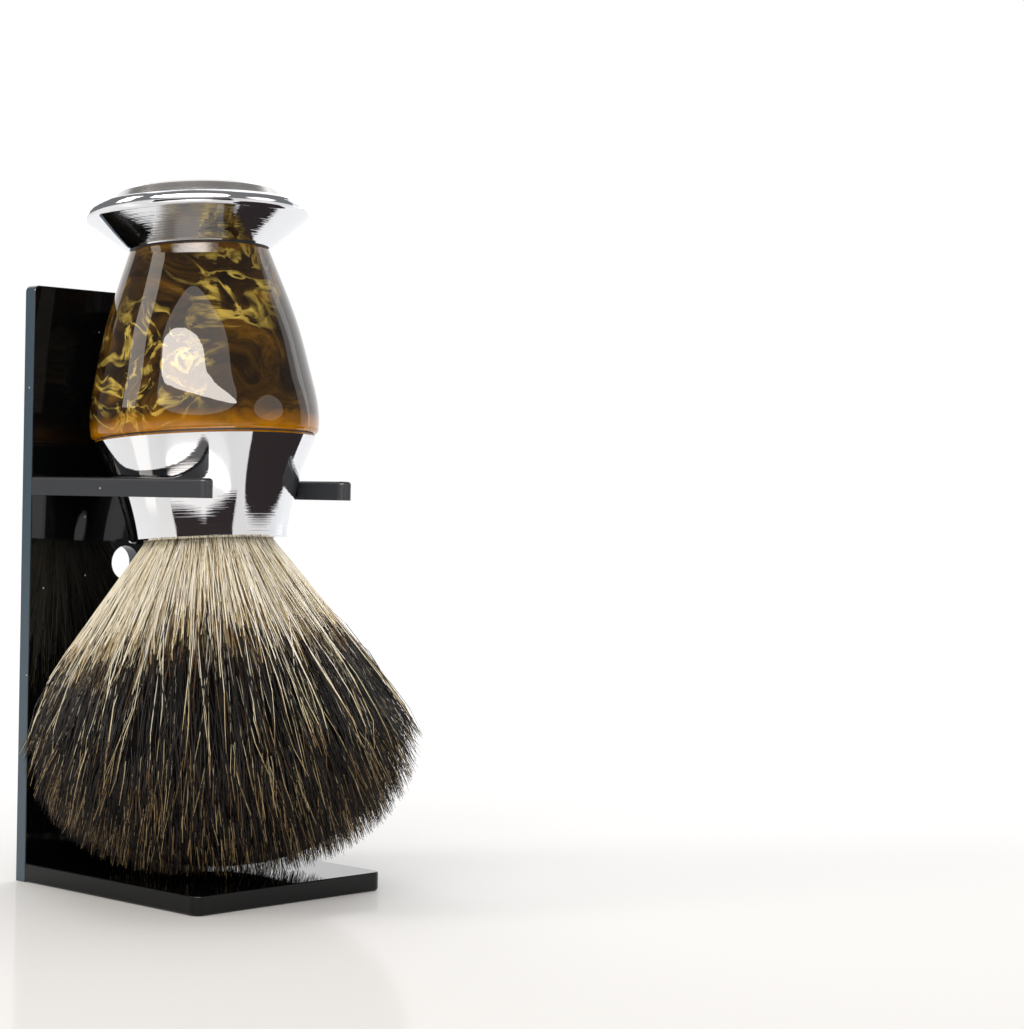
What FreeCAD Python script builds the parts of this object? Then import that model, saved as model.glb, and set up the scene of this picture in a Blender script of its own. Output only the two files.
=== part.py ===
import FreeCAD
import Part
import math
import os

# A shaving brush stand of three glued plates, with its brush hanging knot-down in the fork.
# Millimetres. +Z is up, the fork opens towards -Y, +X is to the right of a person facing it.
# The origin is on the table, in the middle of the stand's footprint.

# ---- driving dimensions of the stand
stand_width = 37.5
stand_height = 94.5
back_thickness = 2.5
plate_thickness = 3.0
base_depth = 42.5
fork_underside = 61.3
fork_length = 38.0
fork_tip_width = 30.5
prong_tip_width = 2.5
seat_radius = 14.9
seat_y = 0.0                 # centre of the round seat
hole_radius = 2.75
hole_height = 50.5
corner_radius = 1.6
edge_round = 0.5
edge_break = 0.2

# ---- driving dimensions of the brush, measured along its own axis from the ferrule's rim
brush_tilt = 4.45            # degrees, the cap leans back towards the upright plate
seat_on_brush = 9.75         # height on the brush that lies level with the fork's top
brush_y = -0.5               # its axis there; a leaning cone sits forward of the seat's centre
ferrule_height = 16.0
ferrule_rim_radius = 12.5
ferrule_top_radius = 17.6
socket_radius = 10.2
socket_depth = 11.5
spigot_radius = 9.0
spigot_height = 4.0
gasket_thickness = 0.25
body_top = 45.75
body_max_radius = 18.05
body_neck_radius = 11.15
cap_spigot_radius = 6.0
cap_spigot_height = 3.0
cap_foot_radius = 11.5
cap_rim_radius = 17.8
cap_top = 53.6
cap_recess_radius = 9.0
cap_recess_floor = 48.4
disc_height = 1.5
disc_foot_radius = 13.3
disc_top_radius = 12.5
rod_radius = 2.5
rod_root_radius = 2.1
thread_pitch = 0.8
rod_clearance = 0.3
washer_radius = 5.0
washer_thickness = 1.0
nut_flats = 8.0
nut_thickness = 2.7
binding_height = 1.4
binding_depth = 0.9
plug_bottom = 3.0

# ---- driving dimensions of the hair
hair_root_radius = 9.85
fan_radius = 31.0            # half the width of the fan where it is widest
fan_depth = 30.0             # how far below the ferrule's rim that is
loft = 51.4                  # rim of the ferrule to the lowest tips
hair_gap = 0.4               # kept free at the upright plate and over the foot plate

# ---- places that follow from them
back_front_y = base_depth / 2 + back_thickness / 2 - back_thickness
back_rear_y = back_front_y + back_thickness
base_front_y = back_front_y - base_depth
fork_top = fork_underside + plate_thickness
body_bottom = ferrule_height + gasket_thickness
cap_bottom = body_top + gasket_thickness
rod_bottom = socket_depth + 1.8
nut_bottom = cap_recess_floor + washer_thickness
rod_top = nut_bottom + nut_thickness + 0.2
far = 200.0                  # larger than any piece, for cutting boxes

UP = FreeCAD.Vector(0, 0, 1)


def point(x, y, z):
    return FreeCAD.Vector(x, y, z)


def line(a, b):
    return Part.LineSegment(point(*a), point(*b)).toShape()


def arc(a, middle, b):
    return Part.Arc(point(*a), point(*middle), point(*b)).toShape()


def turned(edges):
    """A solid of revolution about the Z axis from a closed outline in the XZ plane."""
    face = Part.Face(Part.Wire(edges))
    return face.revolve(point(0, 0, 0), UP, 360)


def outline(corners):
    """Straight edges through (radius, height) corners, closed back to the first."""
    places = [(r, 0, z) for r, z in corners]
    return [line(a, b) for a, b in zip(places, places[1:] + places[:1])]


def disc(radius, bottom, top):
    return Part.makeCylinder(radius, top - bottom, point(0, 0, bottom))


def ring(outer, inner, bottom, top):
    return disc(outer, bottom, top).cut(disc(inner, bottom, top))


def upright_edges(shape, furthest_y):
    """The vertical edges that lie in front of a given depth."""
    chosen = []
    for edge in shape.Edges:
        box = edge.BoundBox
        if box.XLength < 1e-6 and box.YLength < 1e-6 and box.Center.y < furthest_y:
            chosen.append(edge)
    return chosen


def level_edges(shape, height, furthest_y):
    """The edges that lie wholly at one height, with their middle in front of a given depth."""
    chosen = []
    for edge in shape.Edges:
        box = edge.BoundBox
        if box.ZLength < 1e-6 and abs(box.ZMin - height) < 1e-6 and box.Center.y < furthest_y:
            chosen.append(edge)
    return chosen


# ---- the stand

def back_plate():
    half = stand_width / 2
    plate = Part.makeBox(stand_width, back_thickness, stand_height, point(-half, back_front_y, 0))
    corners = []
    for edge in plate.Edges:
        centre = edge.BoundBox.Center
        if edge.BoundBox.YLength > back_thickness - 0.1 and centre.z > stand_height - 1:
            corners.append(edge)
    plate = plate.makeFillet(edge_round * 2, corners)
    rims = []
    for edge in plate.Edges:
        box = edge.BoundBox
        if box.YLength < 1e-6 and box.ZMax > 1:
            rims.append(edge)
    plate = plate.makeFillet(edge_break, rims)
    hole = Part.makeCylinder(hole_radius, back_thickness + 2, point(0, back_front_y - 1, hole_height),
                             point(0, 1, 0))
    return plate.cut(hole)


def base_plate():
    half = stand_width / 2
    plate = Part.makeBox(stand_width, base_depth, plate_thickness, point(-half, base_front_y, 0))
    plate = plate.makeFillet(corner_radius, upright_edges(plate, base_front_y + 1))
    plate = plate.makeFillet(edge_round, level_edges(plate, 0, back_front_y - 1))
    return plate.makeFillet(edge_break, level_edges(plate, plate_thickness, back_front_y - 1))


def fork_plate():
    half_back = stand_width / 2
    half_tip = fork_tip_width / 2
    half_mouth = half_tip - prong_tip_width
    tip_y = back_front_y - fork_length
    mouth_y = seat_y - math.sqrt(seat_radius ** 2 - half_mouth ** 2)
    z = fork_underside
    right = [line((0, back_front_y, z), (half_back, back_front_y, z)),
             line((half_back, back_front_y, z), (half_tip, tip_y, z)),
             line((half_tip, tip_y, z), (half_mouth, tip_y, z)),
             line((half_mouth, tip_y, z), (half_mouth, mouth_y, z))]
    left = [line((-half_mouth, mouth_y, z), (-half_mouth, tip_y, z)),
            line((-half_mouth, tip_y, z), (-half_tip, tip_y, z)),
            line((-half_tip, tip_y, z), (-half_back, back_front_y, z)),
            line((-half_back, back_front_y, z), (0, back_front_y, z))]
    seat = [arc((half_mouth, mouth_y, z), (0, seat_y + seat_radius, z), (-half_mouth, mouth_y, z))]
    plate = Part.Face(Part.Wire(right + seat + left)).extrude(UP * plate_thickness)
    plate = plate.makeFillet(prong_tip_width * 0.42, upright_edges(plate, tip_y + 1))
    return plate.makeFillet(edge_round, level_edges(plate, fork_top, back_front_y - 1))


# ---- the brush, each piece about its own axis with the ferrule's rim at height 0

def ferrule():
    rim = edge_break * 1.5
    flare_foot = (ferrule_rim_radius, 0, rim)
    flare_middle = (14.3, 0, ferrule_height * 0.52)
    flare_top = (ferrule_top_radius, 0, ferrule_height - rim)
    edges = outline([(socket_radius + rim, 0), (ferrule_rim_radius - rim, 0),
                     (ferrule_rim_radius, rim)])[:2]
    edges += [arc(flare_foot, flare_middle, flare_top)]
    inside = [(ferrule_top_radius, ferrule_height - rim), (ferrule_top_radius - rim, ferrule_height),
              (spigot_radius, ferrule_height), (spigot_radius, ferrule_height + spigot_height),
              (rod_radius, ferrule_height + spigot_height), (rod_radius, rod_bottom),
              (0, rod_bottom), (0, socket_depth), (socket_radius, socket_depth),
              (socket_radius, rim), (socket_radius + rim, 0)]
    edges += outline(inside)[:-1]
    return turned(edges)


def ferrule_gasket():
    return ring(ferrule_top_radius - 0.45, spigot_radius, ferrule_height, body_bottom)


def handle_body():
    corner = 0.7
    foot = body_max_radius - 0.25
    spline = Part.BSplineCurve()
    spline.interpolate([point(foot + 0.1, 0, body_bottom + corner), point(body_max_radius, 0, 18.9),
                        point(17.0, 0, 26.0), point(15.35, 0, 33.3), point(13.1, 0, 40.2),
                        point(body_neck_radius, 0, body_top - 0.2)])
    bore = rod_radius + rod_clearance
    low_recess = ferrule_height + spigot_height + 0.2
    high_recess = cap_bottom - cap_spigot_height - 0.2
    edges = [arc((foot - corner, 0, body_bottom), (foot - 0.2, 0, body_bottom + 0.22),
                 (foot + 0.1, 0, body_bottom + corner)),
             spline.toShape()]
    inside = [(body_neck_radius, body_top - 0.2), (body_neck_radius - 0.2, body_top),
              (cap_spigot_radius, body_top), (cap_spigot_radius, high_recess),
              (bore, high_recess), (bore, low_recess), (spigot_radius, low_recess),
              (spigot_radius, body_bottom), (foot - corner, body_bottom)]
    edges += outline(inside)[:-1]
    return turned(edges)


def cap_gasket():
    return ring(body_neck_radius - 0.3, cap_spigot_radius, body_top, cap_bottom)


def end_cap():
    rim_height = 51.6
    shoulder = cap_top - 0.15
    spigot_foot = cap_bottom - cap_spigot_height
    bore = rod_radius + rod_clearance
    first = outline([(bore, spigot_foot), (cap_spigot_radius, spigot_foot),
                     (cap_spigot_radius, cap_bottom), (cap_foot_radius - 0.2, cap_bottom),
                     (cap_foot_radius, cap_bottom + 0.2), (17.1, rim_height - 1.2)])[:-1]
    rim = [arc((17.1, 0, rim_height - 1.2), (cap_rim_radius, 0, rim_height), (17.35, 0, rim_height + 1.0)),
           arc((17.35, 0, rim_height + 1.0), (15.9, 0, rim_height + 1.45), (13.7, 0, shoulder))]
    last = outline([(13.7, shoulder), (disc_foot_radius - 0.6, shoulder),
                    (disc_foot_radius - 0.6, cap_top), (cap_recess_radius, cap_top),
                    (cap_recess_radius, cap_recess_floor), (bore, cap_recess_floor),
                    (bore, spigot_foot)])[:-1]
    return turned(first + rim + last)


def cap_disc():
    top = cap_top + disc_height
    spigot = outline([(0, cap_top - 1.1), (cap_recess_radius, cap_top - 1.1),
                      (cap_recess_radius, cap_top), (disc_foot_radius, cap_top),
                      (disc_top_radius + 0.15, top - 0.25), (disc_top_radius - 0.15, top),
                      (0, top)])
    return turned(spigot)


def threaded(bottom, top):
    """Outline corners of a thread drawn as rings: root, flank, crest, flank, every pitch."""
    corners = []
    turns = int((top - bottom) / thread_pitch)
    for turn in range(turns):
        z = bottom + turn * thread_pitch
        corners += [(rod_root_radius, z), (rod_radius, z + thread_pitch * 0.4),
                    (rod_radius, z + thread_pitch * 0.6)]
    return corners + [(rod_root_radius, bottom + turns * thread_pitch)]


def tie_rod():
    low = threaded(rod_bottom, ferrule_height + spigot_height)
    high = threaded(cap_recess_floor, rod_top)
    shank = [(rod_root_radius + 0.2, low[-1][1]), (rod_root_radius + 0.2, high[0][1])]
    return turned(outline([(0, rod_bottom)] + low + shank + high + [(0, high[-1][1])]))


def cap_washer():
    return ring(washer_radius, rod_radius + 0.15, cap_recess_floor, nut_bottom)


def cap_nut():
    corner = nut_flats / math.sqrt(3)
    corners = []
    for step in range(7):
        angle = math.radians(60 * step)
        corners.append(point(corner * math.cos(angle), corner * math.sin(angle), nut_bottom))
    prism = Part.Face(Part.makePolygon(corners)).extrude(UP * nut_thickness)
    crown = turned(outline([(0, nut_bottom), (corner, nut_bottom),
                            (corner, nut_bottom + nut_thickness - 0.4),
                            (nut_flats / 2 - 0.1, nut_bottom + nut_thickness),
                            (0, nut_bottom + nut_thickness)]))
    return prism.common(crown).cut(disc(rod_radius, nut_bottom, nut_bottom + nut_thickness))


def knot_plug():
    waist = plug_bottom + binding_height
    return turned(outline([(0, plug_bottom), (socket_radius - binding_depth, plug_bottom),
                           (socket_radius - binding_depth, waist), (socket_radius, waist),
                           (socket_radius, socket_depth), (0, socket_depth)]))


def knot_binding():
    """Two turns of thread, drawn as two rings that touch."""
    inner = socket_radius - binding_depth
    thread = binding_height / 4
    rings = []
    for turn in range(2):
        middle = plug_bottom + thread * (2 * turn + 1)
        rounded = turned([line((inner, 0, middle - thread), (inner + thread, 0, middle - thread)),
                          arc((inner + thread, 0, middle - thread), (inner + 2 * thread, 0, middle),
                              (inner + thread, 0, middle + thread)),
                          line((inner + thread, 0, middle + thread), (inner, 0, middle + thread)),
                          line((inner, 0, middle + thread), (inner, 0, middle - thread))])
        rings.append(rounded)
    return rings[0].fuse(rings[1]).removeSplitter()


def hair_knot():
    """The outer shape of the hair: a straight-sided fan, then a domed end."""
    root = (hair_root_radius, 0, -0.6)
    shoulder = (fan_radius * 0.975, 0, -fan_depth + 2.5)
    widest = (fan_radius, 0, -fan_depth)
    quarter = math.sqrt(0.5)
    below = (fan_radius * quarter, 0, -fan_depth - (loft - fan_depth) * quarter)
    tip = (0, 0, -loft)
    edges = [line((0, 0, plug_bottom), (hair_root_radius, 0, plug_bottom)),
             line((hair_root_radius, 0, plug_bottom), root),
             line(root, shoulder),
             line(shoulder, widest),
             arc(widest, below, tip),
             line(tip, (0, 0, plug_bottom))]
    return turned(edges)


def hang(shape):
    """Leans the brush back and sets it in the fork's seat."""
    lean = FreeCAD.Rotation(point(1, 0, 0), -brush_tilt)
    on_axis = lean.multVec(point(0, 0, seat_on_brush))
    shift = point(0, brush_y, fork_top) - on_axis
    hung = shape.copy()
    hung.Placement = FreeCAD.Placement(shift, lean).multiply(hung.Placement)
    return hung


def room_for_hair():
    """The space in front of the upright plate and over the foot plate."""
    floor = plate_thickness + hair_gap
    return Part.makeBox(2 * far, far, far, point(-far, back_front_y - hair_gap - far, floor))


STAND = {"back_plate": back_plate, "base_plate": base_plate, "fork_plate": fork_plate}
BRUSH = {"ferrule": ferrule, "ferrule_gasket": ferrule_gasket, "handle_body": handle_body,
         "cap_gasket": cap_gasket, "end_cap": end_cap, "cap_disc": cap_disc, "tie_rod": tie_rod,
         "cap_washer": cap_washer, "cap_nut": cap_nut, "knot_plug": knot_plug,
         "knot_binding": knot_binding}

os.makedirs("parts", exist_ok=True)
pieces = {name: make() for name, make in STAND.items()}
pieces.update({name: hang(make()) for name, make in BRUSH.items()})
pieces["hair_knot"] = hang(hair_knot()).common(room_for_hair())

for name, shape in pieces.items():
    if len(shape.Solids) == 1:
        shape = shape.Solids[0]
    box = shape.optimalBoundingBox(False)
    print(f"{name:16s} valid {shape.isValid()}  solids {len(shape.Solids)}  "
          f"volume {shape.Volume:9.1f}  x {box.XMin:6.1f} {box.XMax:6.1f}  "
          f"y {box.YMin:6.1f} {box.YMax:6.1f}  z {box.ZMin:6.1f} {box.ZMax:6.1f}")
    shape.exportStep(f"parts/{name}.step")
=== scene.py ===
# %% [markdown]
# # A shaving brush hanging in its stand
# The stand is three pieces of black acrylic sheet glued together. The brush hangs knot-down
# in the fork. Its handle is a marbled resin bell between two chromed, turned metal pieces.
# The rigid pieces come from the CAD model and only get their real finishes here. The knot of
# hair is built here, strand by strand, because hair is what a solid can't show.

# %% The fixed frame
import math

import bpy
import numpy as np
from mathutils import Matrix, Quaternion, Vector


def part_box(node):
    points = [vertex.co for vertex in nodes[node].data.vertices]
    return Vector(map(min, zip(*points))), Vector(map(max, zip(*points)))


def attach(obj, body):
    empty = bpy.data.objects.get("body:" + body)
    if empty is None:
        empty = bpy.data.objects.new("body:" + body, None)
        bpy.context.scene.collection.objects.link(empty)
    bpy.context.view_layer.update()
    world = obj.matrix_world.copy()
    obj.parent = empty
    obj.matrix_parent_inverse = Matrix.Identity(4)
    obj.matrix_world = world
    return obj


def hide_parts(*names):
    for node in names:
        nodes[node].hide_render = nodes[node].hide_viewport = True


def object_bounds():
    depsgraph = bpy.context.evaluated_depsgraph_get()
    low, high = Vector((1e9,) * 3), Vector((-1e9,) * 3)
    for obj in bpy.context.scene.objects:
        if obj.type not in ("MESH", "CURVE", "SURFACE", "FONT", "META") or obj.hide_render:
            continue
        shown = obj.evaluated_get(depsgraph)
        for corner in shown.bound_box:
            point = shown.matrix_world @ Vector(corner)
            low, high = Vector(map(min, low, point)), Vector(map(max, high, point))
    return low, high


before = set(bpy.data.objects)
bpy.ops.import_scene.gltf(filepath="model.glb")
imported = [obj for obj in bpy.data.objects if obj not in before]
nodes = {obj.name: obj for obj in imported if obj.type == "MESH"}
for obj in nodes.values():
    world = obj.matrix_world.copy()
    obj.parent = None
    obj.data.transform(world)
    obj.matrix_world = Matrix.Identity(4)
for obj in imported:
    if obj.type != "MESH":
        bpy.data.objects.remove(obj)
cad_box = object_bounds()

MM = 0.001
print("pieces from the model:", sorted(nodes))

# %% [markdown]
# ## Two small tools
# Colours are written the way a paint chart gives them, as sRGB hex, and one function turns
# them to the linear numbers that light is worked out in. A second function adds a shader node
# with its settings and links in one call, so a material reads as a short list of steps.

# %% Colours and shader nodes
def hex_colour(code):
    """Linear RGBA from an sRGB hex code such as 'c08040'."""
    parts = [int(code[i:i + 2], 16) / 255 for i in (0, 2, 4)]
    linear = [c / 12.92 if c <= 0.04045 else ((c + 0.055) / 1.055) ** 2.4 for c in parts]
    return (*linear, 1.0)


def add(tree, kind, settings=None, links=None):
    """Adds a node. Settings name its properties or inputs, links name the inputs they feed."""
    node = tree.nodes.new(kind)
    for name, value in (settings or {}).items():
        if hasattr(node, str(name)):
            setattr(node, name, value)
        else:
            node.inputs[name].default_value = value
    for name, source in (links or {}).items():
        tree.links.new(source, node.inputs[name])
    return node


def new_material(name):
    """An empty material with its shader, and the tree to build in."""
    material = bpy.data.materials.new(name)
    material.use_nodes = True
    tree = material.node_tree
    return material, tree, tree.nodes["Principled BSDF"]


def set_ramp(node, stops):
    """Gives a colour ramp its stops, as (place, hex) pairs."""
    band = node.color_ramp
    while len(band.elements) < len(stops):
        band.elements.new(0.5)
    for element, (place, code) in zip(band.elements, stops):
        element.position = place
        element.color = hex_colour(code)
    return node


# %% [markdown]
# ## Where the brush is
# The brush leans back in its seat. Two thin rings lie round its axis, so the middles of their
# boxes give that axis exactly, and the lowest point of the ferrule along it is the rim that
# the hair comes out of. Everything about the brush is then measured from that rim.

# %% The brush's own axis
def middle(node):
    low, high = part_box(node)
    return (low + high) / 2


low_ring = middle("ferrule_gasket")
axis = (middle("cap_gasket") - low_ring).normalized()
rim_height = min((v.co - low_ring).dot(axis) for v in nodes["ferrule"].data.vertices)
rim = low_ring + axis * rim_height
side = Vector((1, 0, 0))
basis = np.array([side, axis.cross(side), axis])
lean = math.degrees(math.atan2(axis.y, axis.z))
print(f"the brush leans back {lean:.2f} degrees, its rim is {rim.z / MM:.1f} mm up")


def from_brush(points):
    """Points given as (across, back, along the axis) from the rim, moved to the frame."""
    return points @ basis + np.array(rim)


# %% [markdown]
# ## The camera
# A level view from the front left, at the height of the fork, with a short telephoto lens
# that keeps the plates' edges nearly parallel. The camera is tipped by one degree.

# %% Camera
AZIMUTH, ELEVATION, ROLL = (math.radians(a) for a in (-46.85, 0.30, 1.04))
back = Vector((math.sin(AZIMUTH) * math.cos(ELEVATION),
               -math.cos(AZIMUTH) * math.cos(ELEVATION), math.sin(ELEVATION)))
level = Vector((0, 0, 1)).cross(back).normalized()
upright = back.cross(level)
camera_right = level * math.cos(ROLL) + upright * math.sin(ROLL)
camera_up = upright * math.cos(ROLL) - level * math.sin(ROLL)
CAMERA_PLACE = (-0.24146, -0.29303, 0.06155)
lens = bpy.data.cameras.new("camera")
lens.lens = 83.3
lens.sensor_width = 36.0
camera = bpy.data.objects.new("camera", lens)
turn = Matrix((camera_right, camera_up, back)).transposed().to_4x4()
camera.matrix_world = Matrix.Translation(CAMERA_PLACE) @ turn
bpy.context.scene.collection.objects.link(camera)
bpy.context.scene.camera = camera
print("camera distance to the brush, mm:", round((camera.location - rim).length / MM))

# %% [markdown]
# ## The table and the surroundings
# The table is white and glossy, so the stand shows in it faintly. The light is soft and comes
# from all round. Polished metal and resin show their surroundings, so these need something to
# show: a few soft boxes with darker gaps between them. The laminate's colour carries a painted
# shade: it is painted a little darker near the viewer, where a lamp behind the object would light
# it less. The painted shade runs over 25 cm of the table and is fixed to the table.

# %% Table
TABLE_RADIUS = 1.3
FADE_STARTS, FADE_ENDS = -0.12, 0.13    # metres along the table, toward the viewer


def flat_piece(name, corners, material):
    """One staged sheet with the corners given, which lights and sets the object but isn't it."""
    mesh = bpy.data.meshes.new(name)
    mesh.from_pydata(corners, [], [tuple(range(len(corners)))])
    mesh.materials.append(material)
    piece = bpy.data.objects.new(name, mesh)
    bpy.context.scene.collection.objects.link(piece)
    return piece


def disc_corners(centre, radius, count=96):
    """Corners of a level disc, in order round it."""
    turns = [2 * math.pi * i / count for i in range(count)]
    return [centre + radius * Vector((math.cos(t), math.sin(t), 0)) for t in turns]


laminate, tree, shader = new_material("white gloss laminate")
tree.nodes.remove(shader)
place = add(tree, "ShaderNodeTexCoord")
to_viewer = Vector((math.sin(AZIMUTH), -math.cos(AZIMUTH), 0))
# Painted shade: the laminate's colour is painted darker toward the viewer, over 25 cm.
nearness = add(tree, "ShaderNodeVectorMath", {"operation": "DOT_PRODUCT", 1: to_viewer},
               {0: place.outputs["Object"]})
painted_shade = add(tree, "ShaderNodeMapRange", {1: FADE_STARTS, 2: FADE_ENDS},
           {0: nearness.outputs["Value"]})
white = add(tree, "ShaderNodeMix", {"data_type": "RGBA", 6: hex_colour("f1f1f1"),
                                    7: hex_colour("dfdedc")}, {0: painted_shade.outputs[0]})
matt = add(tree, "ShaderNodeBsdfDiffuse", None, {"Color": white.outputs[2]})
gloss = add(tree, "ShaderNodeBsdfGlossy", {"Color": (1, 1, 1, 1), "Roughness": 0.09})
mix = add(tree, "ShaderNodeMixShader", {"Fac": 0.07}, {1: matt.outputs[0], 2: gloss.outputs[0]})
tree.links.new(mix.outputs[0], tree.nodes["Material Output"].inputs["Surface"])
flat_piece("table", disc_corners(Vector((0, 0, 0)), TABLE_RADIUS), laminate)


# %% Places round the object, and soft boxes
def towards(azimuth, elevation, distance, centre=Vector((0, 0, 0.06))):
    """A place round the object. Azimuth 0 is in front of it, 90 to its right."""
    a, e = math.radians(azimuth), math.radians(elevation)
    return centre + distance * Vector((math.sin(a) * math.cos(e), -math.cos(a) * math.cos(e),
                                       math.sin(e)))


def soft_box(name, place, width, height, radiance, colour="ffffff", shape="RECTANGLE", spin=0,
             lights_all=True):
    """A flat light that faces the object, as bright as the radiance given. One that doesn't
    light all surfaces shows in polished ones only."""
    azimuth, elevation, distance = place
    lamp = bpy.data.lights.new(name, "AREA")
    lamp.shape = shape
    lamp.size, lamp.size_y = width, height
    area = width * height * (math.pi / 4 if shape == "ELLIPSE" else 1)
    lamp.energy = radiance * math.pi * area
    lamp.color = hex_colour(colour)[:3]
    box = bpy.data.objects.new(name, lamp)
    box.location = towards(azimuth, elevation, distance)
    facing = (towards(azimuth, elevation, 1) - towards(0, 0, 0)).to_track_quat("Z", "Y")
    box.rotation_mode = "QUATERNION"
    box.rotation_quaternion = facing @ Quaternion((0, 0, 1), math.radians(spin))
    box.visible_camera = False
    box.visible_diffuse = lights_all
    bpy.context.scene.collection.objects.link(box)
    return box


# %% [markdown]
# The boxes are placed by azimuth, elevation and distance. The backdrop light behind the object
# fills the chrome's sides and the table's far half. The front boxes draw the bright shapes on
# the resin. The key box is narrow and strong, and shows in polished surfaces only, because as
# a lamp it would light everything too hard.

# %% The seven boxes
soft_box("backdrop light", (133, 21, 1.3), 2.9, 1.15, 1.1)
soft_box("left box", (-121, 27, 0.70), 0.22, 0.44, 4.2, "fbf4ea")
soft_box("front scrim", (-49, 27, 0.80), 1.26, 0.70, 2.5, "faf5f0", "ELLIPSE")
soft_box("key box", (-46, 30, 0.70), 1.05, 0.15, 18.0, "fff6ee", "ELLIPSE", -11, lights_all=False)
soft_box("right scrim", (27, 11, 0.85), 0.52, 0.34, 1.7, "f8f0ea", "ELLIPSE")
soft_box("right box", (80, 14, 0.8), 0.26, 0.6, 0.8)
soft_box("overhead", (133, 60, 1.1), 1.2, 1.1, 1.2)

# %% [markdown]
# The room itself is a plain white world. Seen directly it is pure white. As a source of
# light it is weaker, and in reflections weaker still, so that the chrome keeps some contrast.

# %% The studio round the object
SEEN, LIGHTS, REFLECTED = 1.0, 0.41, 0.20    # how bright the room is in each of three ways
world = bpy.data.worlds.new("studio")
bpy.context.scene.world = world
world.use_nodes = True
sky = world.node_tree
sky.nodes.remove(sky.nodes["Background"])
path = add(sky, "ShaderNodeLightPath")
plain, fill, dim = (add(sky, "ShaderNodeBackground", {"Color": (1, 1, 1, 1), "Strength": level})
                    for level in (SEEN, LIGHTS, REFLECTED))
unlit = add(sky, "ShaderNodeMixShader", None,
            {"Fac": path.outputs["Is Glossy Ray"], 1: fill.outputs[0], 2: dim.outputs[0]})
chosen = add(sky, "ShaderNodeMixShader", None,
             {"Fac": path.outputs["Is Camera Ray"], 1: unlit.outputs[0], 2: plain.outputs[0]})
sky.links.new(chosen.outputs[0], sky.nodes["World Output"].inputs["Surface"])
bpy.context.scene.view_settings.view_transform = "Standard"

# %% [markdown]
# Chrome in an all-white studio has no shape, so a photographer lays black cards round it. Two
# lie flat here: a round one to the right of the brush, which draws the dark bands down the
# ferrule and the cap, and a wide one in front, which shows as a small dark block low on the
# ferrule. Both are there for reflections only: their upper sides are black, and their lower
# sides are clear. The front card has a notch, so its reflection has two lobes.

# %% Black cards
card, tree, shader = new_material("matt black card")
tree.nodes.remove(shader)
black = add(tree, "ShaderNodeBsdfDiffuse", {"Color": hex_colour("2f292a")})
clear = add(tree, "ShaderNodeBsdfTransparent")
face = add(tree, "ShaderNodeNewGeometry")
mix = add(tree, "ShaderNodeMixShader", None,
          {"Fac": face.outputs["Backfacing"], 1: black.outputs[0], 2: clear.outputs[0]})
tree.links.new(mix.outputs[0], tree.nodes["Material Output"].inputs["Surface"])


def dark_card(name, corners):
    """A flat card that only shows in reflections."""
    piece = flat_piece(name, corners, card)
    piece.visible_camera = False
    piece.visible_diffuse = False
    piece.visible_shadow = False
    return piece


ROUND_CARD_PLACE, ROUND_CARD_RADIUS = towards(44, 0, 0.080, Vector((0, 0, 0.040))), 0.049
dark_card("round card", disc_corners(ROUND_CARD_PLACE, ROUND_CARD_RADIUS))

# Corners of the front card: metres ahead of the brush, and to the side. The second is the notch.
FRONT_CARD = ((0.100, 0.095), (0.18, 0.0), (0.100, -0.095), (0.34, -0.26), (0.34, 0.26))
FRONT_CARD_HEIGHT = 0.012
ahead = towards(-44, 0, 1, Vector((0, 0, 0)))
beside = Vector((0, 0, 1)).cross(ahead)
dark_card("front card", [Vector((0, 0, FRONT_CARD_HEIGHT)) + ahead * a + beside * b
                         for a, b in FRONT_CARD])
print("two black cards laid")
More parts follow.
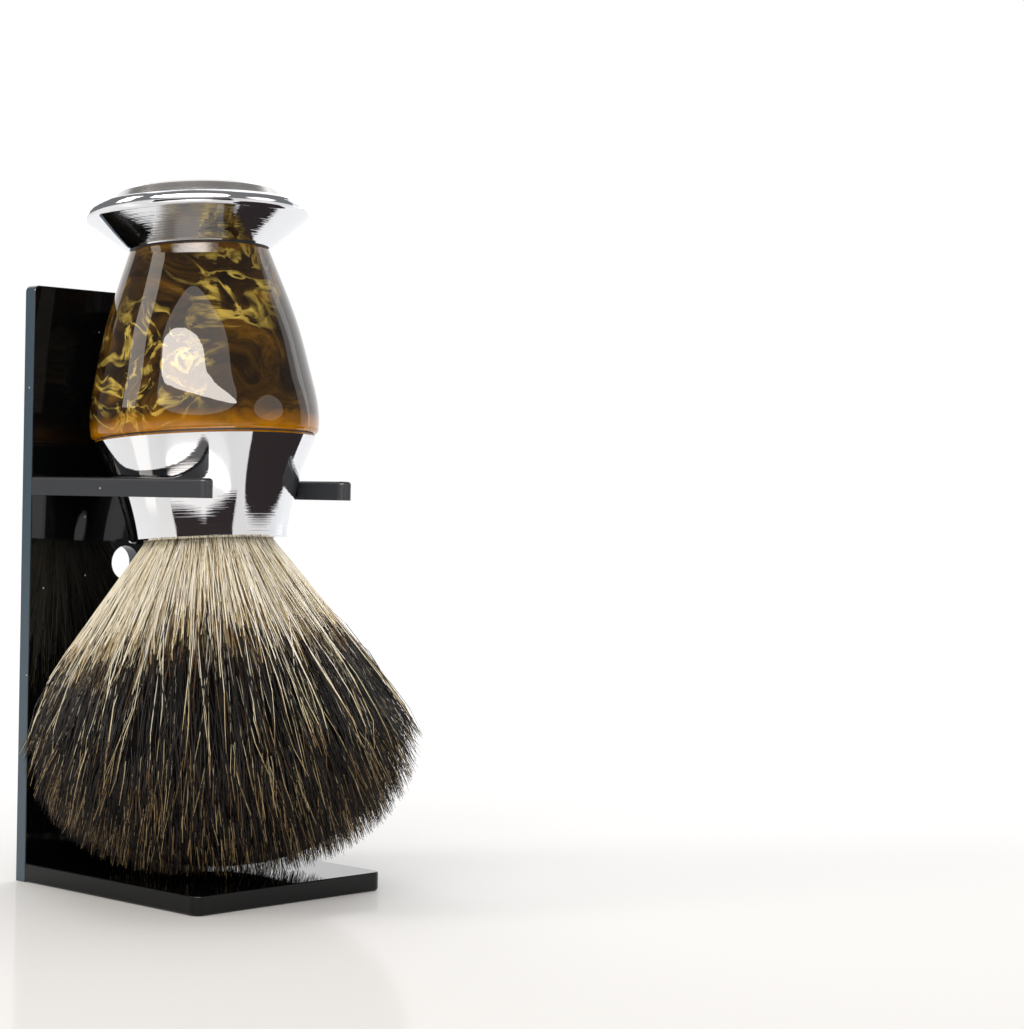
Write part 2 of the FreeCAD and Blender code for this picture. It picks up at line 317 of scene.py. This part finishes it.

# %% [markdown]
# ## Black acrylic sheet
# Cast acrylic is polished on its faces and reflects like dark glass, with an IOR of 1.49. Its
# sawn edges are only scraped smooth, so they are a little rougher and look greyer. A freshly
# unpacked stand also carries a few specks of dust. The edges are told apart by the direction
# that the surface faces. One function makes the three finishes. The three plates are one sheet,
# and the edge tones that differ between them are painted light: the upright's edge is painted
# blue-grey, the fork's edge is a plain grey, and the foot's edge is painted nearly black as a
# painted shade. The foot has less shine, because it already mirrors the bright table.

# %% Acrylic
def acrylic(name, face_axis, shine, edge_tone_and_painted_light):
    """face_axis is 0, 1 or 2: the direction that the sheet's polished faces look."""
    material, tree, shader = new_material(name)
    shader.inputs["Specular IOR Level"].default_value = shine
    shader.inputs["IOR"].default_value = 1.49
    place = add(tree, "ShaderNodeTexCoord")
    normal = add(tree, "ShaderNodeSeparateXYZ", None, {0: place.outputs["Normal"]})
    along = add(tree, "ShaderNodeMath", {"operation": "ABSOLUTE"}, {0: normal.outputs[face_axis]})
    edge = add(tree, "ShaderNodeMapRange", {1: 0.9, 2: 0.3, 3: 0.0, 4: 1.0}, {0: along.outputs[0]})

    # Specks of dust about 0.3 mm across, in three of four cells 4 mm wide.
    cells = add(tree, "ShaderNodeTexVoronoi", {"Scale": 1 / (4 * MM)},
                {"Vector": place.outputs["Object"]})
    speck = add(tree, "ShaderNodeMath", {"operation": "LESS_THAN", 1: 0.035},
                {0: cells.outputs["Distance"]})
    pick = add(tree, "ShaderNodeSeparateColor", None, {0: cells.outputs["Color"]})
    kept = add(tree, "ShaderNodeMath", {"operation": "GREATER_THAN", 1: 0.25},
               {0: pick.outputs[0]})
    dust = add(tree, "ShaderNodeMath", {"operation": "MULTIPLY"},
               {0: speck.outputs[0], 1: kept.outputs[0]})
    # The edge's colour is its own greyer sawn tone plus painted light: a tone per plate for the
    # light on it.
    body = add(tree, "ShaderNodeMix", {"data_type": "RGBA", 6: hex_colour("050607"),
                                       7: hex_colour(edge_tone_and_painted_light)}, {0: edge.outputs[0]})
    colour = add(tree, "ShaderNodeMix", {"data_type": "RGBA", 7: hex_colour("b9b6b0")},
                 {0: dust.outputs[0], 6: body.outputs[2]})
    tree.links.new(colour.outputs[2], shader.inputs["Base Color"])

    # A faint haze from handling, in patches of about 10 mm.
    haze = add(tree, "ShaderNodeTexNoise", {"Scale": 1 / (10 * MM), "Detail": 4.0},
               {"Vector": place.outputs["Object"]})
    smooth = add(tree, "ShaderNodeMapRange", {1: 0.35, 2: 0.75, 3: 0.025, 4: 0.07},
                 {0: haze.outputs[0]})
    rough = add(tree, "ShaderNodeMix", {"data_type": "FLOAT", 3: 0.24},
                {0: edge.outputs[0], 2: smooth.outputs[0]})
    tree.links.new(rough.outputs[0], shader.inputs["Roughness"])

    # Cast sheet is never quite flat, which bends reflections slightly.
    wave = add(tree, "ShaderNodeTexNoise", {"Scale": 1 / (14 * MM), "Detail": 1.0},
               {"Vector": place.outputs["Object"]})
    bump = add(tree, "ShaderNodeBump", {"Strength": 1.0, "Distance": 0.03 * MM},
               {"Height": wave.outputs[0]})
    tree.links.new(bump.outputs[0], shader.inputs["Normal"])
    return material


def give(node, material):
    """Puts a material on every slot of a piece from the model."""
    for slot in nodes[node].material_slots:
        slot.material = material


# Painted light: the edge tones differ per plate, painted blue-grey on the upright and nearly black
# on the foot.
give("back_plate", acrylic("black cast acrylic sheet, upright", 1, 0.5, "394954"))
give("base_plate", acrylic("black cast acrylic sheet, foot", 2, 0.28, "08090a"))
give("fork_plate", acrylic("black cast acrylic sheet, fork", 2, 0.5, "34363a"))
print("acrylic on the stand's three plates")

# %% [markdown]
# ## Chromed brass
# The ferrule and the cap are turned on a lathe, polished and chromium plated. Chrome is a
# nearly perfect mirror with a slightly cool tint. The polishing leaves very fine rings round
# the axis, which make the edges of a reflection ragged. They are drawn as a faint bump that
# depends only on the height along the brush. Real marks are finer than the eye can part, so
# the noise is drawn at 0.25 mm. The cap's rings are deeper than the ferrule's, so reflections
# in it break up more. The disc on top is satin: polished less, and a little greyer.

# %% Chrome
def height_on_brush(tree, place):
    """Height along the brush's axis in millimetres, from the ferrule's rim."""
    scaled = [c / MM for c in axis]
    along = add(tree, "ShaderNodeVectorMath", {"operation": "DOT_PRODUCT", 1: scaled},
                {0: place.outputs["Object"]})
    start = rim.dot(axis) / MM
    return add(tree, "ShaderNodeMath", {"operation": "SUBTRACT", 1: start},
               {0: along.outputs["Value"]})


def chrome(name, ring_depth_mm, tint="e6e8ec", smoothest=0.015, roughest=0.05):
    """Chromium plate with fine turned rings. The last two are its range of roughness."""
    material, tree, shader = new_material(name)
    shader.inputs["Base Color"].default_value = hex_colour(tint)
    shader.inputs["Metallic"].default_value = 1.0
    place = add(tree, "ShaderNodeTexCoord")
    height = height_on_brush(tree, place)
    rings = add(tree, "ShaderNodeTexNoise", {"noise_dimensions": "1D", "Scale": 4.0, "Detail": 2.0,
                                             "Roughness": 0.7}, {"W": height.outputs[0]})
    bump = add(tree, "ShaderNodeBump", {"Strength": 1.0, "Distance": ring_depth_mm * MM},
               {"Height": rings.outputs[0]})
    tree.links.new(bump.outputs[0], shader.inputs["Normal"])
    smear = add(tree, "ShaderNodeMapRange", {1: 0.3, 2: 0.7, 3: smoothest, 4: roughest},
                {0: rings.outputs[0]})
    tree.links.new(smear.outputs[0], shader.inputs["Roughness"])
    return material


fine_turned = chrome("chromium plate on brass, fine turned", 0.005)
coarse_turned = chrome("chromium plate on brass, coarser turned", 0.012)
satin_disc = chrome("chromium plate on brass, satin disc", 0.005, "c8c6c4", 0.24, 0.30)
for node, finish in (("ferrule", fine_turned), ("end_cap", coarse_turned),
                     ("cap_disc", satin_disc)):
    give(node, finish)
print("chrome on the ferrule, the cap and its disc")

# %% [markdown]
# ## Marbled amber resin
# The handle is cast polyester: amber syrup with brown and gold pigment folded into it and not
# quite stirred. The pattern is a noise that is bent by another noise, which gives swirls
# about 13 mm across, and thin gold threads lie where a third noise crosses its middle. At the
# clear foot of the bell and at its thin neck the colour carries a painted glow: orange is painted
# in where light would gather in the clear resin. The surface is polished like glass.

# %% Resin
# Where the gold pigment was poured: two places on the bell, in millimetres across, back and
# along the axis from the brush's rim, and how far each one reaches.
GOLD_PLUMES = np.array([[-16.0, -3.0, 25.0], [-4.0, -13.0, 38.0]])
PLUME_REACH = (16.0, 9.0)
GLOW_FROM, GLOW_TO = 17.0, 47.5         # heights of the bell's foot and neck


def resin():
    """Cast marbled resin: clouds of brown, gold threads, and a painted glow at the clear ends."""
    material, tree, shader = new_material("cast polyester resin, amber marbled, polished")
    shader.inputs["IOR"].default_value = 1.55
    shader.inputs["Specular IOR Level"].default_value = 0.36
    shader.inputs["Roughness"].default_value = 0.02
    place = add(tree, "ShaderNodeTexCoord")
    height = height_on_brush(tree, place)
    size = add(tree, "ShaderNodeVectorMath", {"operation": "SCALE", "Scale": 1 / MM},
               {0: place.outputs["Object"]})
    warp = add(tree, "ShaderNodeTexNoise", {"Scale": 0.06, "Detail": 2.0},
               {"Vector": size.outputs[0]})
    push = add(tree, "ShaderNodeVectorMath", {"operation": "MULTIPLY_ADD", 1: (26, 26, 14),
                                              2: (-13, -13, -7)}, {0: warp.outputs["Color"]})
    bent = add(tree, "ShaderNodeVectorMath", {"operation": "ADD"},
               {0: size.outputs[0], 1: push.outputs[0]})
    flat = add(tree, "ShaderNodeMapping", {"Scale": (1, 1, 1.6)}, {"Vector": bent.outputs[0]})

    clouds = add(tree, "ShaderNodeTexNoise", {"Scale": 0.075, "Detail": 6.0, "Roughness": 0.62,
                                              "Distortion": 1.2}, {"Vector": flat.outputs[0]})
    tone = set_ramp(add(tree, "ShaderNodeValToRGB", None, {0: clouds.outputs[0]}),
                    [(0.30, "0f0803"), (0.44, "211405"), (0.54, "382508"), (0.64, "56390a"),
                     (0.78, "80601c")])

    # Gold threads: thin where the noise crosses 0.5, and gathered in a few places.
    folds = add(tree, "ShaderNodeTexNoise", {"Scale": 0.07, "Detail": 4.0, "Roughness": 0.5,
                                             "Distortion": 1.6}, {"Vector": flat.outputs[0]})
    cross = add(tree, "ShaderNodeMath", {"operation": "SUBTRACT", 1: 0.5}, {0: folds.outputs[0]})
    near = add(tree, "ShaderNodeMath", {"operation": "ABSOLUTE"}, {0: cross.outputs[0]})
    line = add(tree, "ShaderNodeMapRange", {"interpolation_type": "SMOOTHERSTEP", 1: 0.0, 2: 0.05,
                                            3: 1.0, 4: 0.0}, {0: near.outputs[0]})
    where = add(tree, "ShaderNodeTexNoise", {"Scale": 0.05, "Detail": 1.0},
                {"Vector": size.outputs[0]})
    spot = add(tree, "ShaderNodeMapRange", {1: 0.54, 2: 0.70, 3: 0.0, 4: 0.6},
               {0: where.outputs[0]})
    for plume, reach in zip(from_brush(GOLD_PLUMES * MM) / MM, PLUME_REACH):
        far = add(tree, "ShaderNodeVectorMath", {"operation": "DISTANCE", 1: plume},
                  {0: size.outputs[0]})
        inside = add(tree, "ShaderNodeMapRange", {1: reach, 2: reach * 0.5, 3: 0.0, 4: 1.0},
                     {0: far.outputs["Value"]})
        spot = add(tree, "ShaderNodeMath", {"operation": "MAXIMUM"},
                   {0: spot.outputs[0], 1: inside.outputs[0]})
    wisp = add(tree, "ShaderNodeTexNoise", {"Scale": 0.22, "Detail": 3.0, "Distortion": 1.0},
               {"Vector": flat.outputs[0]})
    thin = add(tree, "ShaderNodeMapRange", {1: 0.38, 2: 0.66, 3: 0.05, 4: 0.95},
               {0: wisp.outputs[0]})
    drawn = add(tree, "ShaderNodeMath", {"operation": "MULTIPLY"},
                {0: line.outputs[0], 1: spot.outputs[0]})
    gold = add(tree, "ShaderNodeMath", {"operation": "MULTIPLY"},
               {0: drawn.outputs[0], 1: thin.outputs[0]})
    marbled = add(tree, "ShaderNodeMix", {"data_type": "RGBA", 7: hex_colour("bda34a")},
                  {0: gold.outputs[0], 6: tone.outputs[0]})

    # Painted glow: orange painted into the colour at the clear foot and the thin neck, for light
    # gathered in the resin.
    streak = add(tree, "ShaderNodeTexNoise", {"Scale": 0.25, "Detail": 4.0},
                 {"Vector": flat.outputs[0]})
    uneven = add(tree, "ShaderNodeMath", {"operation": "MULTIPLY_ADD", 1: 3.0},
                 {0: streak.outputs[0], 2: height.outputs[0]})
    glow = set_ramp(add(tree, "ShaderNodeValToRGB"),
                    [(0.0, "f0f0f0"), (0.05, "c8c8c8"), (0.13, "000000"), (0.94, "000000"),
                     (1.0, "606060")])
    share = add(tree, "ShaderNodeMapRange", {1: GLOW_FROM, 2: GLOW_TO}, {0: uneven.outputs[0]})
    tree.links.new(share.outputs[0], glow.inputs[0])
    colour = add(tree, "ShaderNodeMix", {"data_type": "RGBA", 7: hex_colour("bb7802")},
                 {0: glow.outputs[0], 6: marbled.outputs[2]})
    tree.links.new(colour.outputs[2], shader.inputs["Base Color"])
    return material


give("handle_body", resin())
print("resin on the handle")

# %% [markdown]
# ## Small hidden pieces
# Two thin rubber rings show as dark lines at the resin's ends. The rod, washer and nut that
# hold the handle together, the epoxy plug and the thread round the hair's butt are inside. They
# get plain honest finishes, so the brush can be taken apart on the screen.

# %% Rubber, zinc plate, epoxy and thread
def mottled(name, dark, light, grain_mm, roughness, metal=0.0):
    """A finish with one soft mottle: two colours mixed by a noise of that grain."""
    material, tree, shader = new_material(name)
    shader.inputs["Metallic"].default_value = metal
    place = add(tree, "ShaderNodeTexCoord")
    grain = add(tree, "ShaderNodeTexNoise", {"Scale": 1 / (grain_mm * MM), "Detail": 3.0},
                {"Vector": place.outputs["Object"]})
    tone = set_ramp(add(tree, "ShaderNodeValToRGB", None, {0: grain.outputs[0]}),
                    [(0.35, dark), (0.65, light)])
    tree.links.new(tone.outputs[0], shader.inputs["Base Color"])
    finish = add(tree, "ShaderNodeMapRange", {3: roughness * 0.8, 4: roughness * 1.2},
                 {0: grain.outputs[0]})
    tree.links.new(finish.outputs[0], shader.inputs["Roughness"])
    return material


rubber = mottled("black nitrile rubber, moulded", "0b0a09", "191512", 0.4, 0.55)
zinc = mottled("zinc plated steel, bright", "8d9196", "b8bcc0", 0.6, 0.28, metal=1.0)
epoxy = mottled("epoxy, poured and yellowed", "8a6a34", "b08c4c", 3.0, 0.2)
thread = mottled("waxed cotton thread, wound", "a8987a", "d2c5a8", 0.3, 0.7)
for node, material in (("ferrule_gasket", rubber), ("cap_gasket", rubber), ("tie_rod", zinc),
                       ("cap_washer", zinc), ("cap_nut", zinc), ("knot_plug", epoxy),
                       ("knot_binding", thread)):
    give(node, material)

# %% [markdown]
# ## The hair
# Badger hair is pale at the root and dark towards the tip, and some hairs stay pale all the
# way. A knot is a bundle of about ten thousand, bound where it enters the handle, so that it
# fans out below. Every strand here is a thin three-sided tube from the root to its own point on
# the domed end. There are 11,400 of them, 0.12 to 0.18 mm thick, which is about twice as
# thick as real hair, because finer strands would need many more to cover the knot. A strand
# is coloured in stretches, one finish for each, because strands this thin can't hold a
# painted pattern.

# %% Shape of the knot
# All in millimetres, from the ferrule's rim.
FAN_RADIUS = 31.2       # the widest part of the fan
FAN_DEPTH = 30.5        # how far below the rim that is
LOFT = 53.0             # the length of the hair outside the handle
DOME_POWER = 2.3        # how full the domed end is: 2 is an ellipse
ROOT_RADIUS = 9.7
ROOT_INSIDE = 1.5
PUSHED_FORWARD = 1.9    # the upright plate presses the back of the knot
BOX_MARGIN = 1.2        # how far a hair may leave the model's box
draw = np.random.default_rng(11)


def fan_point(share, angle, stretch=1.0):
    """Where a hair ends: share 0 is the middle of the dome, 1 its widest edge."""
    share = np.clip(share, 0, 0.999)
    out = FAN_RADIUS * share * stretch
    down = (FAN_DEPTH + (LOFT - FAN_DEPTH) * np.sqrt(1 - share ** DOME_POWER)) * stretch
    return np.stack([out * np.cos(angle), out * np.sin(angle), -down], axis=-1)


def keep_clear(points):
    """Bends hair that would pass the upright or the foot, so that it lies along the plate."""
    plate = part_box("back_plate")[0].y - 0.35 * MM
    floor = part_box("base_plate")[1].z + 0.15 * MM
    soft = 2.5 * MM
    past = points[..., 1] - (plate - soft)
    points[..., 1] = np.where(past > 0, plate - soft * np.exp(-np.maximum(past, 0) / soft),
                              points[..., 1])
    soft = 1.2 * MM
    below = (floor + soft) - points[..., 2]
    over_foot = points[..., 1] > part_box("base_plate")[0].y - 4 * MM
    points[..., 2] = np.where((below > 0) & over_foot,
                              floor + soft * np.exp(-np.maximum(below, 0) / soft), points[..., 2])
    low, high = (np.array(corner) for corner in cad_box)
    return np.clip(points, low - BOX_MARGIN * MM, high + BOX_MARGIN * MM)


# %% [markdown]
# Every strand is a smooth curve through nine points. The first stretches are the pale root,
# then comes the tan change, then the dark part. Neighbouring hairs cling together in small
# tufts near their tips, which leaves the dark partings that make hair look like hair. By the
# handle the fan is kept narrow, so that it can rise through the fork with the brush.

# %% Strands
RINGS = 9
TUFTS = 700
STRAY_SHARE = 0.02                      # hairs that stand out from the fan
NECK_RADIUS, NECK_SLOPE = 10.0, 0.76    # the widest the hair may be, and how that grows below
THINNEST, THICKEST = 0.060, 0.092       # radius of a strand in millimetres


def nearest_of(points, centres):
    """The index of each point's nearest centre, worked out in slices to save memory."""
    found = [np.argmin(((part[:, None] - centres) ** 2).sum(-1), axis=1)
             for part in np.array_split(points, 40)]
    return np.concatenate(found)


def strands(count):
    """Centre lines and radii for that many hairs, and how far out in the fan each one is."""
    share = draw.random(count) ** 0.40
    angle = draw.random(count) * 2 * math.pi
    root_share = np.clip(share + draw.normal(0, 0.04, count), 0, 1)
    root = np.stack([ROOT_RADIUS * root_share * np.cos(angle),
                     ROOT_RADIUS * root_share * np.sin(angle), np.full(count, ROOT_INSIDE)], -1)
    tip_angle = angle + draw.normal(0, 0.05, count)
    tip_share = share + draw.normal(0, 0.035, count)
    length_share = 1 - 0.07 * draw.random(count) ** 2.0
    stray = draw.random(count) < STRAY_SHARE
    tip_angle[stray] += draw.normal(0, 0.16, stray.sum())
    tip_share[stray] += draw.normal(0, 0.10, stray.sum())
    tip = fan_point(tip_share, tip_angle) * length_share[:, None]

    tuft_tip = fan_point(draw.random(TUFTS) ** 0.40, draw.random(TUFTS) * 2 * math.pi)
    nearest = nearest_of(tip, tuft_tip)
    pull = 0.5 * draw.random(count)[:, None]

    rim_point = root * [1.03, 1.03, 0]
    whole = np.linalg.norm(tip - rim_point, axis=1) + ROOT_INSIDE
    # Painted light: the pale part is painted longer on the side toward the upright's left edge,
    # the side the light comes from.
    painted_light_side = np.clip(-0.68 * np.cos(angle) + 0.73 * np.sin(angle), 0, 1) * share
    pale_end = np.clip(draw.normal(15.8, 3.0, count) + 7.0 * painted_light_side, 7, None)
    tan_end = pale_end + np.clip(draw.normal(3.8, 1.3, count), 1.5, None)
    early = np.stack([np.zeros(count), np.full(count, ROOT_INSIDE), pale_end * 0.5, pale_end,
                      tan_end], -1)
    late = tan_end[:, None] + (whole - tan_end)[:, None] * np.array([0.28, 0.56, 0.80, 1.0])
    run = np.concatenate([early, late], axis=1) / whole[:, None]

    t = run[:, :, None]
    inside = ROOT_INSIDE / whole[:, None, None]
    fan = np.clip((t - inside) / (1 - inside), 0, 1)
    straight = rim_point[:, None] * (1 - fan) + tip[:, None] * fan
    straight[..., 2] += (ROOT_INSIDE * np.clip(1 - t / inside, 0, 1))[..., 0]
    cling = (tuft_tip[nearest] * length_share[:, None] - tip)[:, None] * pull[:, None] * fan ** 2.2
    outward = np.stack([np.cos(angle), np.sin(angle), np.zeros(count)], -1) * share[:, None]
    bow = (1.4 * outward[:, None] + draw.normal(0, 0.8, (count, 1, 3))) * np.sin(math.pi * fan)
    sway = draw.normal(0, 0.50, (count, 1, 3)) * np.sin(2 * math.pi * fan)
    wander = sway + draw.normal(0, 0.20, (count, RINGS, 3)) * fan
    wander[stray] *= 1.7
    bow[stray] *= 1.7
    line = straight + cling + bow + wander
    line[..., 1] -= PUSHED_FORWARD * fan[..., 0] ** 1.5
    line[:, :2] = straight[:, :2]

    # The fan is kept inside a cone by the handle. Strays may leave it lower down.
    out = np.linalg.norm(line[..., :2], axis=2)
    widest = NECK_RADIUS + NECK_SLOPE * np.clip(-line[..., 2], 0, None)
    widest += np.where(stray, 3.0, 0.0)[:, None] * np.clip(-line[..., 2] / 10 - 1, 0, 1)
    line[..., :2] *= np.minimum(1, widest / np.maximum(out, 1e-6))[..., None]

    thick = draw.uniform(THINNEST, THICKEST, count)
    taper = np.interp(run, [0, 0.1, 0.55, 0.85, 1.0], [0.8, 0.85, 1.0, 0.95, 0.3])
    return line * MM, thick[:, None] * taper * MM, share


# %% [markdown]
# Ten finishes make the range from cream to nearly black. Each is the same keratin with a soft
# shine, and only the pigment differs.

# %% Hair finishes
TINTS = {"ivory": "f8f2e4", "cream": "f3ead2", "straw": "e4d7b2", "sand": "c4ae80",
         "tan": "8d7048", "brown": "574029", "umber": "2a1e15", "sable": "15100d",
         "soot": "0b0908", "jet": "060505"}
ORDER = list(TINTS)


def hair_finish(tint, code):
    material, tree, shader = new_material(f"badger hair, {tint}")
    shader.inputs["Base Color"].default_value = hex_colour(code)
    shader.inputs["Roughness"].default_value = 0.42
    shader.inputs["IOR"].default_value = 1.55
    shader.inputs["Specular IOR Level"].default_value = 0.26
    return material


hair_finishes = [hair_finish(tint, code) for tint, code in TINTS.items()]

# Tints of the eight stretches of a hair, root to tip, as lists to draw from.
KINDS = [(0.62, ["ivory cream", "ivory cream straw", "cream ivory", "straw sand tan",
                 "umber sable", "soot jet", "soot jet sable", "jet soot umber"]),
         (0.14, ["ivory cream", "cream straw", "straw cream", "sand tan", "umber brown",
                 "umber sable brown", "sable umber", "sable umber soot"]),
         (0.15, ["ivory cream", "ivory cream", "ivory cream", "ivory cream",
                 "cream ivory", "cream straw", "straw sand", "sand tan"]),
         (0.09, ["umber brown", "brown tan", "tan umber", "sable umber", "soot sable",
                 "jet soot", "jet soot", "soot umber"])]


def tints_of(count):
    """One finish number for each stretch of each hair."""
    kind = draw.choice(len(KINDS), count, p=[k[0] for k in KINDS])
    tint = np.zeros((count, RINGS - 1), int)
    for number, (_, stretches) in enumerate(KINDS):
        mine = kind == number
        for place, names in enumerate(stretches):
            choices = [ORDER.index(name) for name in names.split()]
            tint[mine, place] = draw.choice(choices, mine.sum())
    return tint


# %% [markdown]
# The tubes are written straight into three meshes, because a modifier or a curve for every
# hair would be slow. Each face takes the finish of its stretch. The outer hairs and the
# inner ones are separate meshes, so none is too heavy.

# %% Tubes
def place_hair(name, mesh):
    """A piece of the knot: it moves with the brush and stands in for the model's plain knot."""
    piece = bpy.data.objects.new(name, mesh)
    bpy.context.scene.collection.objects.link(piece)
    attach(piece, "brush")
    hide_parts("hair_knot")
    return piece


def tubes(name, lines, radii, tints):
    """A mesh of three-sided closed tubes along the lines, with a finish for each stretch."""
    count, rings = lines.shape[:2]
    heading = np.gradient(lines, axis=1)
    heading /= np.linalg.norm(heading, axis=2, keepdims=True)
    across = np.cross(heading, draw.normal(0, 1, (count, 1, 3)))
    across /= np.linalg.norm(across, axis=2, keepdims=True)
    upward = np.cross(heading, across)
    turns = np.arange(3) * 2 * math.pi / 3
    around = (across[:, :, None] * np.cos(turns)[:, None]
              + upward[:, :, None] * np.sin(turns)[:, None])
    corners = lines[:, :, None] + around * radii[:, :, None, None]
    first = np.arange(count)[:, None, None] * rings * 3
    ring = np.arange(rings - 1)[None, :, None] * 3
    this = np.arange(3)[None, None]
    after = (np.arange(3)[None, None] + 1) % 3
    quads = np.stack([first + ring + this, first + ring + after, first + ring + 3 + after,
                      first + ring + 3 + this], axis=-1).reshape(-1, 4)
    start = np.arange(count)[:, None] * rings * 3
    roots = start + [[2, 1, 0]]
    tips = start + (rings - 1) * 3 + [[0, 1, 2]]

    mesh = bpy.data.meshes.new(name)
    mesh.vertices.add(count * rings * 3)
    mesh.vertices.foreach_set("co", corners.ravel())
    loops = np.concatenate([quads.ravel(), roots.ravel(), tips.ravel()])
    sizes = np.concatenate([np.full(len(quads), 4), np.full(2 * count, 3)])
    mesh.loops.add(len(loops))
    mesh.loops.foreach_set("vertex_index", loops)
    mesh.polygons.add(len(sizes))
    mesh.polygons.foreach_set("loop_start", np.concatenate([[0], np.cumsum(sizes)[:-1]]))
    finish = np.concatenate([np.repeat(tints.ravel(), 3), tints[:, 0], tints[:, -1]])
    for finish_material in hair_finishes:
        mesh.materials.append(finish_material)
    mesh.polygons.foreach_set("material_index", finish)
    mesh.polygons.foreach_set("use_smooth", np.ones(len(sizes), bool))
    mesh.update(calc_edges=True)
    mesh.validate()
    return place_hair(name, mesh)


# %% All the strands
STRANDS = 11400
lines, radii, shares = strands(STRANDS)
lines = keep_clear(from_brush(lines))
tints = tints_of(STRANDS)
for number, part in enumerate(np.array_split(np.argsort(shares), 3)):
    piece = tubes(f"hair_{number + 1}", lines[part], radii[part], tints[part])
    print(piece.name, "strands", len(part), "faces", len(piece.data.polygons))

# %% [markdown]
# Under the outer hairs the knot is packed solid. A closed body a little smaller than the fan
# stands for that packed hair, so that no light leaks through from behind. It only shows as
# dark gaps between strands, so streaks that follow the hairs are enough for its finish.

# %% Finish of the packed hair
MEETING_HEIGHT = 14     # millimetres above the rim, where the lines of the fan's hairs meet


def packed_hair():
    """Dark streaked hair: pale by the handle, dark below, in streaks that run down the fan."""
    material, tree, shader = new_material("badger hair, packed")
    shader.inputs["Roughness"].default_value = 0.8
    shader.inputs["Specular IOR Level"].default_value = 0.05
    place = add(tree, "ShaderNodeTexCoord")
    height = height_on_brush(tree, place)
    # The fan's hairs meet at one point above the rim, so directions from it follow the hairs.
    meet = add(tree, "ShaderNodeVectorMath",
               {"operation": "SUBTRACT", 1: rim + axis * MEETING_HEIGHT * MM},
               {0: place.outputs["Object"]})
    along = add(tree, "ShaderNodeVectorMath", {"operation": "NORMALIZE"}, {0: meet.outputs[0]})
    streak = add(tree, "ShaderNodeTexNoise", {"Scale": 60.0, "Detail": 4.0, "Roughness": 0.7},
                 {"Vector": along.outputs[0]})
    ragged = add(tree, "ShaderNodeMath", {"operation": "MULTIPLY_ADD", 1: 12.0},
                 {0: streak.outputs[0], 2: height.outputs[0]})
    pale = add(tree, "ShaderNodeMapRange", {1: -13.0, 2: -7.0}, {0: ragged.outputs[0]})
    roots = set_ramp(add(tree, "ShaderNodeValToRGB", None, {0: streak.outputs[0]}),
                     [(0.40, "4a3826"), (0.52, "c4ae82"), (0.62, "e4d6b2")])
    tips = set_ramp(add(tree, "ShaderNodeValToRGB", None, {0: streak.outputs[0]}),
                    [(0.45, "050404"), (0.60, "0f0b08"), (0.70, "2a1f15")])
    colour = add(tree, "ShaderNodeMix", {"data_type": "RGBA"},
                 {0: pale.outputs[0], 6: tips.outputs[0], 7: roots.outputs[0]})
    tree.links.new(colour.outputs[2], shader.inputs["Base Color"])
    return material


# %% Shape of the packed core
CORE_SHARE = 0.86       # of the fan's radius
CORE_LOFT = 0.90        # of the dome's height
CORE_NECK = 8.9
CORE_TOP, CORE_RIM = 1.2, -1.0
TURNS = 72
core_radius = FAN_RADIUS * CORE_SHARE


def dome_height(share):
    """Height of the core's domed end: share 0 is its middle, 1 its edge."""
    return -(FAN_DEPTH + (LOFT - FAN_DEPTH) * math.sqrt(1 - share ** DOME_POWER) * CORE_LOFT)


core_profile = [(8.6, CORE_TOP), (CORE_NECK, CORE_RIM)]
core_profile += [(CORE_NECK + (core_radius - CORE_NECK) * t, CORE_RIM - (FAN_DEPTH + CORE_RIM) * t)
                 for t in (0.25, 0.5, 0.75)]
core_profile += [(core_radius * t, dome_height(t)) for t in np.linspace(1.0, 0.0, 14)[:-1]]


def core_ring(out, up):
    """One level ring of the core, pushed forward where the upright presses the hair."""
    angles = np.arange(TURNS) * 2 * math.pi / TURNS
    ring = np.stack([out * np.cos(angles), out * np.sin(angles), np.full(TURNS, up)], -1)
    ring[:, 1] -= PUSHED_FORWARD * (max(-up, 0) / LOFT) ** 1.5
    return ring


core_rings = [core_ring(out, up) for out, up in core_profile]
core_ends = np.array([[0, 0, CORE_TOP], [0, -PUSHED_FORWARD * 0.9, dome_height(0.0)]])
core_points = keep_clear(from_brush(np.concatenate(core_rings + [core_ends]) * MM))
print("packed core of", len(core_points), "points")

# %% Faces of the packed core
last = len(core_rings) - 1
top, bottom = len(core_points) - 2, len(core_points) - 1
following = [(j + 1) % TURNS for j in range(TURNS)]
core_faces = [(i * TURNS + j, (i + 1) * TURNS + j, (i + 1) * TURNS + following[j],
               i * TURNS + following[j]) for i in range(last) for j in range(TURNS)]
for j in range(TURNS):
    core_faces.append((top, j, following[j]))
    core_faces.append((bottom, last * TURNS + following[j], last * TURNS + j))
core_mesh = bpy.data.meshes.new("hair_core")
core_mesh.from_pydata(core_points.tolist(), [], core_faces)
core_mesh.materials.append(packed_hair())
core_mesh.polygons.foreach_set("use_smooth", [True] * len(core_faces))
place_hair("hair_core", core_mesh)
print("packed core of", len(core_faces), "faces")

# %% [markdown]
# ## The CAD model's box
# The CAD model's box, printed in millimetres. The hair is kept inside it, apart from a small
# margin. The visual model has to stay inside the size of the CAD model, apart from a little
# hair.

# %% Sizes
print("CAD box   ", [round(c / MM, 1) for corner in cad_box for c in corner])
